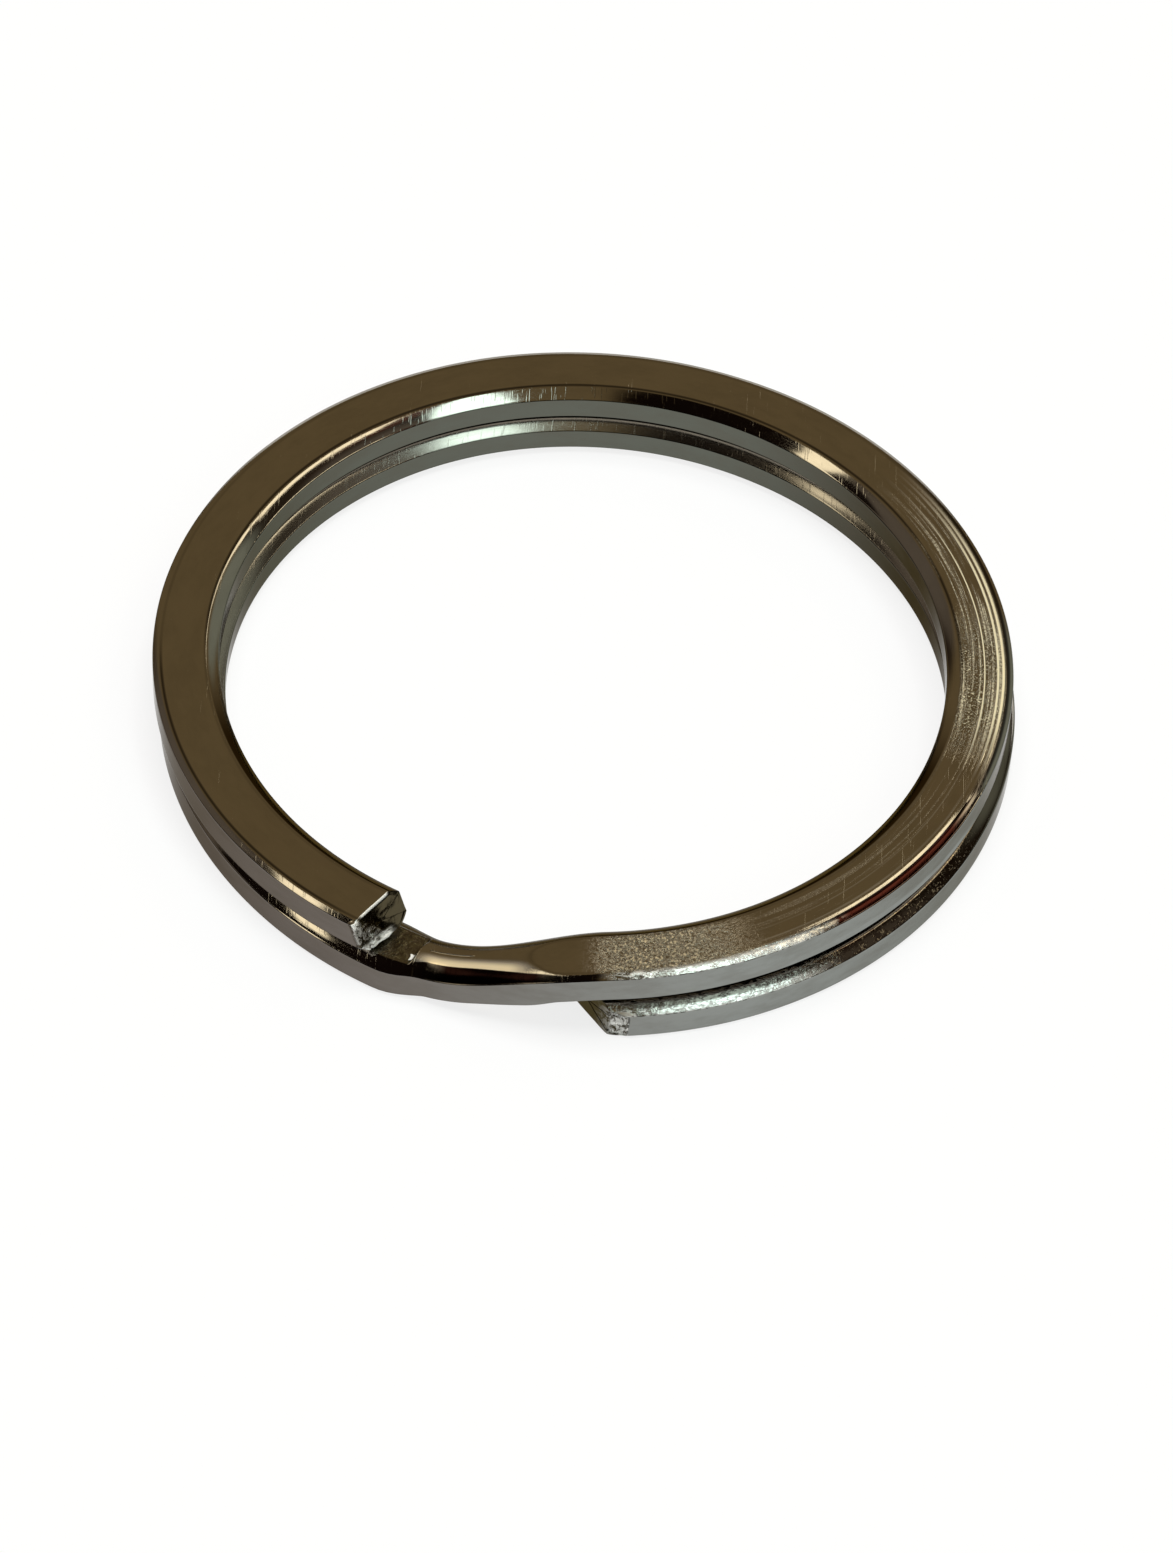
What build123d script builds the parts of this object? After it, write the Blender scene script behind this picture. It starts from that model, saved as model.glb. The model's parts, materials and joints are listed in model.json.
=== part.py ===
from build123d import *
import math
import os

# Split key ring: one piece of nickel plated spring steel wire, wound almost two
# full turns, pressed flat top and bottom, and sheared off at both ends.
# The lower coil lies on z = 0.  The wire climbs to the upper coil at the front,
# in one short jog beside both wire ends, which is where a key is threaded on.
# Millimetres and degrees.  Angles run anticlockwise from +X, seen from above.

# ---- driving sizes --------------------------------------------------------
outer_diameter = 30.0        # over the wire
wire_width = 2.33            # radial, inner wall to outer wall
coil_thickness = 1.43        # one pressed turn, flat to flat

free_crown = 0.14            # height of the arch that was pressed to an outer flat
free_outer_width = 0.26      # shoulder beside an outer flat, on the outside of the ring
free_outer_drop = 0.14       # how far that shoulder falls to the wall
free_inner_width = 0.46      # the same on the bore side
free_inner_drop = 0.325
mating_crown = 0.19          # height of the arch pressed to a flat that faces the other coil
mating_width = 0.42          # shoulders beside such a flat
mating_drop = 0.335

closed_gap = 0.05            # between the coils where they almost touch
spring_opening = 0.30        # how much further apart they stand on the open side
open_side_angle = 333.0      # direction of the open side
coil_shift = 0.22            # upper coil sits this far to -X of the lower coil

jog_start = 248.3            # the wire leaves the lower coil
jog_sweep = 28.4             # turn that the climb takes
jog_width = 1.86             # of the blank, which was never squashed wider here
jog_wall = 0.80              # upright walls of the blank
jog_thickness = 1.84         # of the blank, crown to crown
jog_inset = 0.08             # the blank runs this far inside the middle of the coils
jog_lead = 4.3               # turn before the climb over which the wire gets narrower
narrow_after = 2.7           # turn from the start of the climb to its narrowest place
widen_after = 8.7            # turn to where it begins to widen again
lower_step_after = 0.45      # turn to the step that ends the lower coil's facing flat
upper_step_after = 18.6      # turn to the step where the upper coil's facing flat begins
underside_flat_ends = (2.2, 9.2)     # turns over which the resting flat runs out
top_flat_begins = (16.1, 23.0)       # turns over which the top flat grows to its width

upper_end_angle = 243.5      # where the wire is cut off on top, at mid width
upper_end_slant = -9.0       # of the cut, away from radial
upper_end_lean = 20.0        # of the cut face, away from upright
lower_end_angle = 272.8      # where the wire begins underneath, at mid width
lower_end_slant = 35.0       # of the cut, away from radial
broken_corner = 0.20         # snapped-off outer corner of the lower end
broken_corner_turn = 40.0    # direction of that break, away from the end cut

# ---- sizes that follow ----------------------------------------------------
half_width = wire_width / 2
mean_radius = outer_diameter / 2 - half_width
half_thickness = coil_thickness / 2
mean_gap = closed_gap + spring_opening / 2
coil_tilt = math.degrees(math.asin(spring_opening / 2 / mean_radius))
coil_joint = jog_start - jog_lead        # where the lower coil hands over to the jog
jog_end = jog_start + jog_sweep
crown_flat_depth = 0.001         # a blank's crown is flat by no more than this
spare_turn = math.degrees(wire_width / mean_radius)     # wire made too long, for the end cuts
station_spacing = 1.6            # turn between the sections that the climb is lofted through
cutter_size = outer_diameter     # any block that is much bigger than the wire

lower_coil_place = Location((coil_shift / 2, 0, half_thickness))
upper_coil_place = (
    Location((-coil_shift / 2, 0, half_thickness + coil_thickness + mean_gap))
    * Location((0, 0, 0), (0, 0, open_side_angle))
    * Location((0, 0, 0), (0, -coil_tilt, 0))
    * Location((0, 0, 0), (0, 0, -open_side_angle))
)


class Side:
    """Top or bottom of the wire: a crown that falls in two arcs, flattened at some height."""

    def __init__(self, crown, flat, outer_radius, outer_start, inner_radius, inner_start):
        self.crown = crown
        self.flat = flat
        self.outer_radius = outer_radius
        self.outer_start = outer_start
        self.inner_radius = inner_radius
        self.inner_start = inner_start

    def outer_height(self, x):
        """Height of the outer shoulder's arc above the middle of the wire."""
        fall = self.outer_radius - math.sqrt(self.outer_radius ** 2 - (x - self.outer_start) ** 2)
        return self.crown - fall

    def inner_height(self, x):
        """The same for the inner shoulder."""
        fall = self.inner_radius - math.sqrt(self.inner_radius ** 2 - (x - self.inner_start) ** 2)
        return self.crown - fall

    def flat_edges(self):
        """Outer and inner edge of the flat, measured from mid width."""
        depth = self.crown - self.flat
        outer = self.outer_start + arc_reach(self.outer_radius, depth)
        inner = self.inner_start - arc_reach(self.inner_radius, depth)
        return outer, inner

    def jogged(self, narrow, press):
        """This side part way to the blank's arch, and flattened in part."""
        blank_rise = (jog_thickness - jog_wall) / 2
        blank_radius = ((jog_width / 2) ** 2 + blank_rise ** 2) / (2 * blank_rise)
        crown = mix(self.crown, jog_thickness / 2, narrow)
        flat = mix(crown - crown_flat_depth, half_thickness, press)
        outer_radius = mix(self.outer_radius, blank_radius, narrow)
        inner_radius = mix(self.inner_radius, blank_radius, narrow)
        outer_start = self.outer_start * (1 - narrow)
        inner_start = self.inner_start * (1 - narrow)
        return Side(crown, flat, outer_radius, outer_start, inner_radius, inner_start)


def mix(first, second, share):
    return first + (second - first) * share


def arc_reach(radius, depth):
    """How far from an arc's crown it has fallen by a depth."""
    return math.sqrt(2 * radius * depth - depth ** 2)


def shoulder_radius(crown, width, drop):
    """Radius of the arc that falls by crown to the flat's edge and by drop more to the wall."""
    slope = drop / width
    offset = -(2 * crown * drop + drop ** 2 + width ** 2) / (2 * width)
    half_sum = crown - slope * offset
    root = math.sqrt(half_sum ** 2 - slope ** 2 * (offset ** 2 + crown ** 2))
    return (half_sum + root) / slope ** 2


def coil_side(crown, outer_width, outer_drop, inner_width, inner_drop):
    """Side of a finished coil, from its two shoulders and the metal pressed away."""
    outer_radius = shoulder_radius(crown, outer_width, outer_drop)
    inner_radius = shoulder_radius(crown, inner_width, inner_drop)
    outer_start = half_width - outer_width - arc_reach(outer_radius, crown)
    inner_start = inner_width - half_width + arc_reach(inner_radius, crown)
    top = half_thickness + crown
    return Side(top, half_thickness, outer_radius, outer_start, inner_radius, inner_start)


free_side = coil_side(
    free_crown, free_outer_width, free_outer_drop, free_inner_width, free_inner_drop
)
mating_side = coil_side(mating_crown, mating_width, mating_drop, mating_width, mating_drop)


def height_arc(height, x_from, x_to, sign):
    """Arc along a shoulder between two distances from mid width; sign is +1 or -1."""
    x_middle = (x_from + x_to) / 2
    return ThreePointArc(
        (x_from, sign * height(x_from)),
        (x_middle, sign * height(x_middle)),
        (x_to, sign * height(x_to)),
    )


def top_edges(side, half):
    """Outer shoulder, flat and inner shoulder of the wire's top."""
    outer, inner = side.flat_edges()
    return [
        height_arc(side.outer_height, half, outer, 1),
        Line((outer, side.flat), (inner, side.flat)),
        height_arc(side.inner_height, inner, -half, 1),
    ]


def bottom_edges(side, half):
    """Inner shoulder, flat and outer shoulder of the wire's underside."""
    outer, inner = side.flat_edges()
    return [
        height_arc(side.inner_height, -half, inner, -1),
        Line((inner, -side.flat), (outer, -side.flat)),
        height_arc(side.outer_height, outer, half, -1),
    ]


def section(top, bottom, half):
    """Closed wire section: top runs inwards, bottom runs outwards, walls join them."""
    over = top_edges(top, half)
    under = bottom_edges(bottom, half)
    inner_wall = Line(over[-1] @ 1, under[0] @ 0)
    outer_wall = Line(under[-1] @ 1, over[0] @ 0)
    return Wire([*over, inner_wall, *under, outer_wall])


def coil(place, top, bottom, start_angle, end_angle):
    """One turn of pressed wire about the axis of its own place."""
    profile = Plane.XZ.location * Pos(mean_radius, 0) * Face(section(top, bottom, half_width))
    turn = revolve(profile, Axis.Z, end_angle - start_angle)
    return place * Rot(0, 0, start_angle) * turn


def half_space(origin, away):
    """Block that takes everything past a plane through origin, facing away."""
    middle = Plane(origin=origin, z_dir=away).offset(cutter_size / 2)
    return middle.location * Box(cutter_size, cutter_size, cutter_size)


def end_normal(angle, slant, lean):
    """Direction out of a cut end; lean tips the face back from upright."""
    heading = math.radians(angle + 90 + slant)
    rise = math.sin(math.radians(lean))
    return Vector(math.cos(heading), math.sin(heading), rise)


def mean_point(place, angle):
    """Middle of the wire section on a coil, at an angle."""
    around = math.radians(angle)
    spot = place * Pos(mean_radius * math.cos(around), mean_radius * math.sin(around), 0)
    return spot.position


def lower_coil():
    """Turn on the table, with its slanted, snapped end."""
    wire_start = lower_end_angle - spare_turn
    turn = coil(lower_coil_place, mating_side, free_side, wire_start, coil_joint + 360)
    corner_angle = math.radians(lower_end_angle)
    middle = mean_point(lower_coil_place, lower_end_angle)
    backwards = -end_normal(lower_end_angle, lower_end_slant, 0)
    turn -= near_end(half_space(middle, backwards), lower_coil_place, lower_end_angle)
    along_cut = backwards.rotate(Axis.Z, -90)
    if along_cut.dot(Vector(math.cos(corner_angle), math.sin(corner_angle), 0)) < 0:
        along_cut = -along_cut
    corner = middle + along_cut * (half_width / math.cos(math.radians(lower_end_slant)))
    snapped = corner - along_cut * broken_corner
    break_direction = backwards.rotate(Axis.Z, broken_corner_turn)
    turn -= near_end(half_space(snapped, break_direction), lower_coil_place, lower_end_angle)
    return turn


def near_end(cutter, place, angle):
    """Keeps a cutter to the neighbourhood of one wire end."""
    reach = 4 * wire_width
    return cutter & Pos(*mean_point(place, angle)) * Box(reach, reach, reach)


def upper_coil():
    """Turn on top, a little tilted, with its sheared end leaning towards the jog."""
    wire_end = upper_end_angle + 360 + spare_turn
    turn = coil(upper_coil_place, free_side, mating_side, jog_end, wire_end)
    middle = mean_point(upper_coil_place, upper_end_angle)
    forwards = end_normal(upper_end_angle, upper_end_slant, upper_end_lean)
    return turn - near_end(half_space(middle, forwards), upper_coil_place, upper_end_angle)


def smooth_step(value, low, high):
    """0 below low, 1 above high, and an S-shaped rise between them."""
    turned = min(max((value - low) / (high - low), 0), 1)
    return turned * turned * (3 - 2 * turned)


def narrowed(after):
    """0 on the coils, 1 where the wire has kept the blank's width."""
    leaving = smooth_step(after, -jog_lead, narrow_after)
    return leaving - smooth_step(after, widen_after, jog_sweep)


def jog_point(after):
    """Middle of the wire some degrees after the start of the climb."""
    below = mean_point(lower_coil_place, jog_start + after)
    above = mean_point(upper_coil_place, jog_start + after)
    inwards = Vector(-below.X, -below.Y, 0).normalized()
    climbed = (above - below) * smooth_step(after, 0, jog_sweep)
    return below + climbed + inwards * jog_inset * narrowed(after)


def jog_plane(after):
    """Plane square to the wire in the jog; its x direction points out of the ring."""
    step = 0.01
    heading = (jog_point(after + step) - jog_point(after - step)).normalized()
    axis_above = (upper_coil_place * Pos(0, 0, 1)).position - upper_coil_place.position
    axis = Vector(0, 0, 1) + (axis_above - Vector(0, 0, 1)) * smooth_step(after, 0, jog_sweep)
    return Plane(origin=jog_point(after), x_dir=heading.cross(axis), z_dir=-heading)


def jog_section(after, top_coil_side, bottom_coil_side, top_press, bottom_press):
    """Wire section in the jog, on its plane."""
    narrow = narrowed(after)
    half = half_width + (jog_width / 2 - half_width) * narrow
    top = top_coil_side.jogged(narrow, top_press)
    bottom = bottom_coil_side.jogged(narrow, bottom_press)
    return jog_plane(after).location * section(top, bottom, half)


def jog_stretch(after_from, after_to, section_at):
    """Loft through evenly spaced sections of the jog."""
    count = math.ceil((after_to - after_from) / station_spacing)
    stations = [after_from + (after_to - after_from) * i / count for i in range(count + 1)]
    return Solid.make_loft([section_at(after) for after in stations])


def start_section(after):
    """Where the lower coil still faces the upper one's end: flat on both sides."""
    return jog_section(after, mating_side, free_side, 1, 1)


def climbing_section(after):
    """Between the steps: the resting flat runs out and the top flat begins."""
    top_press = smooth_step(after, *top_flat_begins)
    bottom_press = 1 - smooth_step(after, *underside_flat_ends)
    return jog_section(after, free_side, free_side, top_press, bottom_press)


def arriving_section(after):
    """Above the lower coil's end: the underside is flat, the top nearly so."""
    return jog_section(after, free_side, mating_side, smooth_step(after, *top_flat_begins), 1)


def jog():
    """The climb from the lower coil to the upper one, left round where the press misses."""
    start = jog_stretch(-jog_lead, lower_step_after, start_section)
    climbing = jog_stretch(lower_step_after, upper_step_after, climbing_section)
    arriving = jog_stretch(upper_step_after, jog_sweep, arriving_section)
    return start + climbing + arriving


def split_ring():
    """The whole ring as one solid."""
    return lower_coil() + jog() + upper_coil()


os.makedirs("parts", exist_ok=True)
export_step(split_ring(), "parts/split_ring.step")
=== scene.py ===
# %% [markdown]
# # A flat split key ring in nickel plated steel
# This lesson dresses one small part: a key ring wound from a single flattened
# wire.  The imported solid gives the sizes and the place.  Blender adds what a
# person sees from close by: the pressed flats, the rounded jog between the two
# coils, the sheared ends and the bright, lightly scratched plating.

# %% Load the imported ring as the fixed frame
import json
import math

import bpy
import numpy as np
from mathutils import Matrix, Vector, noise


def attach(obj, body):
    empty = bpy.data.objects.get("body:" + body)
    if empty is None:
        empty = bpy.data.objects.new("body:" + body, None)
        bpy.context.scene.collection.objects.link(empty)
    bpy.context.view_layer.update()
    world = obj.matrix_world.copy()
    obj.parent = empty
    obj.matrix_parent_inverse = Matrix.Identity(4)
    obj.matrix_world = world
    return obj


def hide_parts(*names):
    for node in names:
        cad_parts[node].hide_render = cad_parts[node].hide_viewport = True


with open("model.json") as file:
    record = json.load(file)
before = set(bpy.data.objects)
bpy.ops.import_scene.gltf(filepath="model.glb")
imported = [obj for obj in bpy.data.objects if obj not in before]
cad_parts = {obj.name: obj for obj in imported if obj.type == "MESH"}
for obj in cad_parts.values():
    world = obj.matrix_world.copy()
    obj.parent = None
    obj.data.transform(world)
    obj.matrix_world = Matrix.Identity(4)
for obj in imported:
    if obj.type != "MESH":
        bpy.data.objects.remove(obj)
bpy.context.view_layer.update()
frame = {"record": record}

MM = 0.001                       # Blender works in metres, the ring in millimetres
DEGREES_ROUND = 360.0

# %% [markdown]
# ## Where the two coils lie
# A split ring is a spring of almost two turns.  The lower turn lies flat, the
# upper one sits on it a little askew.  The frame's record holds both bores as
# mounts, with a centre, an axis and a radius, so the wire's path is worked out
# from them and nothing has to be fitted by eye.

# %% Read both coils from the record
mounts = {mount["name"]: mount for mount in frame["record"]["mounts"]}
lower_bore = mounts["opening_lower_coil"]
upper_bore = mounts["opening_upper_coil"]

lower_centre = np.array(lower_bore["pos_m"]) / MM
upper_centre = np.array(upper_bore["pos_m"]) / MM
lower_axis = np.array(lower_bore["axis"], float)
upper_axis = np.array(upper_bore["axis"], float)
bore_radius = lower_bore["dims"]["r_mm"]

coil_offset = -upper_centre[0]   # the upper coil sits this far to -X

wire_width = 2.33                # inner wall to outer wall
half_width = wire_width / 2
mean_radius = bore_radius + half_width
half_thickness = lower_centre[2]         # the lower coil rests on its flat
print("mean radius", round(mean_radius, 3), "half thickness", round(half_thickness, 3))

# %% [markdown]
# ## The path of the wire
# The path is one running angle, anticlockwise from +X: it starts at the lower
# end, goes once round, climbs in a short jog and goes once round again.  A
# smooth step blends the lower circle into the upper one, so the wire leaves one
# level and meets the other without a kink.

# %% The running angle and the climb
lower_end_angle = 272.8          # middle of the cut underneath
jog_start = 248.3 + DEGREES_ROUND            # the climb begins late in the first turn
jog_sweep = 28.4
jog_end = jog_start + jog_sweep
upper_end_angle = 243.5 + 2 * DEGREES_ROUND  # middle of the cut on top
jog_inset = 0.08                 # mm that the wire runs inside the coils here

# Where the wire gets narrower and wider, in degrees from the start of the climb.
NARROWS_FROM, NARROWS_TO = -4.3, 2.7
WIDENS_FROM, WIDENS_TO = 8.7, 27.7


def smooth_step(value, low, high):
    """0 below low, 1 above high, and an S-shaped rise between them."""
    turned = np.clip((value - low) / (high - low), 0.0, 1.0)
    return turned * turned * (3.0 - 2.0 * turned)


def climb(angle):
    """Share of the climb that is done, level where it starts and stops."""
    return smooth_step(angle, jog_start, jog_end)


def narrowed(angle):
    """0 on the coils, 1 where the wire keeps the blank's smaller width."""
    leaving = smooth_step(angle, jog_start + NARROWS_FROM, jog_start + NARROWS_TO)
    arriving = smooth_step(angle, jog_start + WIDENS_FROM, jog_start + WIDENS_TO)
    return leaving - arriving


total_turn = upper_end_angle - lower_end_angle
print("turn of the wire:", round(total_turn, 1), "degrees,",
      round(math.radians(total_turn) * mean_radius, 1), "mm of wire")

# %% [markdown]
# Each coil is a circle that is tipped to its own axis.  Along the climb the two
# circles are mixed, and the direction of the wire follows from two points that
# lie very close together on either side.

# %% Middle and directions of the wire
LOOK_ASIDE = 0.01                # degrees to either side, to find the direction


def unit(vectors):
    """Vectors of length 1 with the same directions."""
    return vectors / np.linalg.norm(vectors, axis=-1, keepdims=True)


def tipped(vectors, axis):
    """Tips vectors by the turn that takes +Z to the axis."""
    hinge = np.cross([0.0, 0.0, 1.0], axis)
    once = np.cross(hinge, vectors)
    return vectors + once + np.cross(hinge, once) / (1.0 + axis[2])


def coil_centreline(angle, centre, axis):
    """Middle of the wire on one coil."""
    around = np.radians(angle)
    outwards = np.stack([np.cos(around), np.sin(around), np.zeros_like(around)], -1)
    radius = mean_radius - jog_inset * narrowed(angle)
    return centre + radius[..., None] * tipped(outwards, axis)


def centreline(angle):
    """Middle of the wire anywhere on its path."""
    share = climb(angle)[..., None]
    below = coil_centreline(angle, lower_centre, lower_axis)
    above = coil_centreline(angle, upper_centre, upper_axis)
    return below * (1.0 - share) + above * share


def wire_frame(angle):
    """Middle, outward, upward and forward directions of the wire at some angles."""
    forward = unit(centreline(angle + LOOK_ASIDE) - centreline(angle - LOOK_ASIDE))
    share = climb(angle)[..., None]
    axis = lower_axis * (1.0 - share) + upper_axis * share
    outward = unit(np.cross(forward, axis))
    return centreline(angle), outward, np.cross(outward, forward), forward


middle, _, _, forward = wire_frame(np.array(jog_start + jog_sweep / 2))
print("halfway up the climb:", middle.round(2), "rising", round(float(forward[2]), 3))

# %% [markdown]
# ## The wire's section
# The blank is a narrow bar with upright walls and a round, arched top and
# bottom.  The press squashes both coils: they get flats, rounded shoulders and
# half a millimetre more width.  It doesn't reach the jog, which keeps the
# blank's own form.  An arch falls from its crown in two arcs, one to each wall,
# and the press plane cuts it off.

# %% Arches and widths
CREASE = 0.035                   # mm, softness of the edge between flat and shoulder
CORNER = 0.07                    # mm, radius between shoulder and wall
jog_half_width = 0.93            # mm, the wire here was never squashed wider

FREE_CROWN = 0.14                # mm that were pressed off a side that faces outwards
FREE_OUTER = (0.26, 0.14)        # width and fall in mm of its shoulder on the outside
FREE_INNER = (0.46, 0.325)       # the same in the bore
MATING_CROWN = 0.19              # mm pressed off a side that faces the other coil
MATING = (0.42, 0.335)           # width and fall in mm of both its shoulders
BLANK_TOP = 0.92                 # mm from the middle of the blank to its crown
BLANK_RADIUS = 1.09              # mm, of the blank's arch


def shoulder(crown, width, drop):
    """Arc that falls by crown to the flat's edge and by drop more to the wall.

    Gives its radius, and how far from the wall it starts."""
    slope = drop / width
    offset = -(2 * crown * drop + drop ** 2 + width ** 2) / (2 * width)
    half_sum = crown - slope * offset
    root = math.sqrt(half_sum ** 2 - slope ** 2 * (offset ** 2 + crown ** 2))
    radius = (half_sum + root) / slope ** 2
    return radius, width + math.sqrt(2 * radius * crown - crown ** 2)


def make_arch(crown, outer, inner):
    """Arch as [top, outer radius, outer start, inner radius, inner start]."""
    outer_radius, outer_reach = shoulder(crown, *outer)
    inner_radius, inner_reach = shoulder(crown, *inner)
    return np.array([half_thickness + crown, outer_radius, half_width - outer_reach,
                     inner_radius, inner_reach - half_width])


free_arch = make_arch(FREE_CROWN, FREE_OUTER, FREE_INNER)
mating_arch = make_arch(MATING_CROWN, MATING, MATING)
blank_arch = np.array([BLANK_TOP, BLANK_RADIUS, 0.0, BLANK_RADIUS, 0.0])
print("free arch:", free_arch.round(2), "mating arch:", mating_arch.round(2))

# %% [markdown]
# An arch is only five numbers, so three small sums are enough to use it: its
# height at any place across the wire, the edges that a press plane leaves on it,
# and the rounded lower one of two heights, which softens those edges.

# %% Heights and edges of an arch


def arch_height(arch, x):
    """Height of an arch above the middle of the wire, at x from mid width."""
    top, outer_radius, outer_start, inner_radius, inner_start = arch
    outwards = np.clip(x - outer_start, 0.0, outer_radius)
    inwards = np.clip(inner_start - x, 0.0, inner_radius)
    outer_fall = outer_radius - np.sqrt(outer_radius ** 2 - outwards ** 2)
    inner_fall = inner_radius - np.sqrt(inner_radius ** 2 - inwards ** 2)
    return top - outer_fall - inner_fall


def flat_edges(arch, flat):
    """Outer and inner edge of the flat that a press plane leaves on an arch."""
    top, outer_radius, outer_start, inner_radius, inner_start = arch
    depth = max(top - flat, 0.0)
    return (outer_start + math.sqrt(2 * outer_radius * depth - depth ** 2),
            inner_start - math.sqrt(2 * inner_radius * depth - depth ** 2))


def soft_minimum(first, second, softness):
    """The lower of two heights, rounded where they cross."""
    share = np.clip(0.5 + 0.5 * (second - first) / softness, 0.0, 1.0)
    return second + (first - second) * share - softness * share * (1.0 - share)


print("flat of a free side, outer and inner edge:",
      [round(edge, 2) for edge in flat_edges(free_arch, half_thickness)])

# %% [markdown]
# The flats end in two different ways.  On the outside of the ring the press only
# just touches the climbing wire, so its flat runs out in a rounded point.  Where
# the coils face each other the flat stops dead at a little step, because there
# the other coil's end was the die.

# %% How far each side is flattened along the wire
LOWER_STEP = jog_start + 0.45    # where the facing flat of the lower coil stops
UPPER_STEP = jog_start + 18.6    # where that of the upper coil begins
STEP_LENGTH = 0.9                # degrees over which such a step rises
STEP_REACH = 4.0                 # degrees past a step at which it is surely over
ARCH_BLEND = 2.5                 # degrees to either side over which the arch changes
STEP_BOW, STEP_SLANT = 0.5, 1.3  # degrees for each mm across the wire, squared and plain
TOP_FLAT_GROWS = (16.1, 23.0)    # degrees into the climb
UNDERSIDE_FLAT_ENDS = (2.2, 9.2)
NO_PRESS = 1.0                   # mm, far above every arch


def step_line(x):
    """Bow of a step across the wire, in degrees: ahead on the bore side."""
    return STEP_BOW * x ** 2 - STEP_SLANT * x


def mixed_arch(first, second, angle, step):
    """Arch that changes at a step and becomes the blank's where the wire is narrow."""
    passed = smooth_step(angle, step - ARCH_BLEND, step + ARCH_BLEND)
    coil_arch = first + (second - first) * passed
    return coil_arch + (blank_arch - coil_arch) * narrowed(angle)


def top_side(angle, x):
    """Arch of the top at a station, and the height at which it is flattened."""
    arch = mixed_arch(mating_arch, free_arch, angle, LOWER_STEP)
    press = smooth_step(angle - jog_start, *TOP_FLAT_GROWS)
    flat = arch[0] + CREASE + (half_thickness - arch[0] - CREASE) * press
    step_at = LOWER_STEP + step_line(x)
    opened = smooth_step(angle, step_at - STEP_LENGTH / 2, step_at + STEP_LENGTH / 2)
    facing = half_thickness + NO_PRESS * opened ** 2
    return arch, facing if angle < LOWER_STEP + STEP_REACH else np.full_like(x, flat)


def bottom_side(angle, x):
    """The same for the underside."""
    arch = mixed_arch(free_arch, mating_arch, angle, UPPER_STEP)
    lifted = smooth_step(angle - jog_start, *UNDERSIDE_FLAT_ENDS)
    flat = half_thickness + (arch[0] + CREASE - half_thickness) * lifted
    step_at = UPPER_STEP - step_line(x)
    closed = smooth_step(angle, step_at - STEP_LENGTH / 2, step_at + STEP_LENGTH / 2)
    facing = half_thickness + NO_PRESS * (1.0 - closed) ** 2
    return arch, facing if angle > UPPER_STEP - STEP_REACH else np.full_like(x, flat)


for name, side in (("top", top_side), ("underside", bottom_side)):
    crowns = [round(float(side(jog_start + turn, np.zeros(1))[0][0]), 2) for turn in (-9, 9, 27)]
    print(name, "crown before, in and after the jog, in mm:", crowns)

# %% [markdown]
# ## One ring of points around the wire
# Every station of the sweep gets the same number of points, placed where the
# form needs them: close together on the corners and beside the edges of the
# flats, wide apart on the walls.  In the jog the flat narrows to nothing and its
# points run together, which draws the rounded point by itself.

# %% Points of one side
SHOULDER_POINTS = 9
FLAT_POINTS = 13
CORNER_POINTS = 5
WALL_POINTS = 7
CORNER_SHARE = 0.6               # of the corner's radius, where the shoulder's points begin
CORNER_FALL = 1.5                # height of the corner for each mm of its width


def eased(count):
    """Numbers from 0 to 1, closer together near both ends."""
    return 0.5 - 0.5 * np.cos(np.linspace(0.0, math.pi, count))


def side_points(side, angle, half):
    """Points of one side from the outer wall to the inner one."""
    arch, flat = side(angle, np.zeros(1))
    outer_edge, inner_edge = flat_edges(arch, flat[0])
    outer_x, inner_x = half - CORNER * CORNER_SHARE, -half + CORNER * CORNER_SHARE
    x = np.concatenate([
        outer_x + (outer_edge - outer_x) * eased(SHOULDER_POINTS)[:-1],
        outer_edge + (inner_edge - outer_edge) * eased(FLAT_POINTS),
        inner_edge + (inner_x - inner_edge) * eased(SHOULDER_POINTS)[1:],
    ])
    arch, flat = side(angle, x)
    return x, soft_minimum(arch_height(arch, x), flat, CREASE)


print("points of a side:", len(side_points(top_side, jog_end, half_width)[0]))

# %% [markdown]
# Two such sides, two walls and four rounded corners make the closed outline.  It
# runs over the top from outside to inside, down the inner wall, back along the
# underside and up the outer wall.

# %% Close the outline of the section
def corner_points(x, y, wall_x):
    """Round the corner from the wall to the first point of a side."""
    drop = abs(wall_x - x) * CORNER_FALL
    turned = np.linspace(0.0, math.pi / 2, CORNER_POINTS)[:-1]
    return (wall_x + (x - wall_x) * (1.0 - np.cos(turned)),
            y - drop * (1.0 - np.sin(turned)))


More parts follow.
